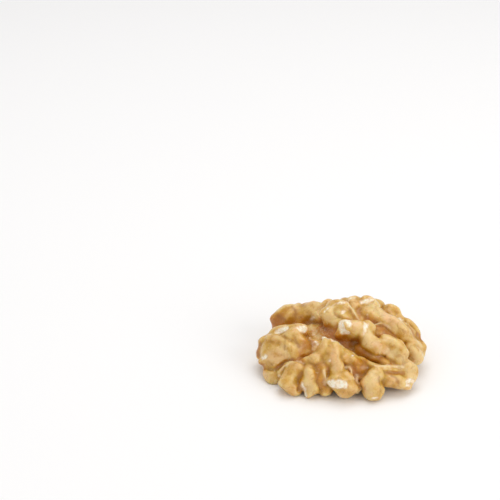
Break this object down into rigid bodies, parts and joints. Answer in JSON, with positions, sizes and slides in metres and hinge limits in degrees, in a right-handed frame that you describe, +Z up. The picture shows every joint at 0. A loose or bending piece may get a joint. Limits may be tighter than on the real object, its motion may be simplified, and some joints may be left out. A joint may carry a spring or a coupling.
{
  "type": "walnut kernel half",
  "caption": "Shelled walnut kernel half with brain-like folds and a middle valley, lying on its open side; food prop or loose natural filler.",
  "frame": {"origin": "under the middle of the kernel, on the surface that it lies on", "axes": "+Z up out of the surface, +X along the kernel's length, +Y from the front lobe with its knobs to the rear lobe"},
  "size_m": [0.0328, 0.0268, 0.013],
  "materials": {
    "kernel_skin": "honey-tan seed skin, satin and slightly waxy, darker orange-brown in the grooves, cream where it is chipped"
  },
  "bodies": {
    "root": {"kernel": "kernel_skin"}
  },
  "joints": []
}
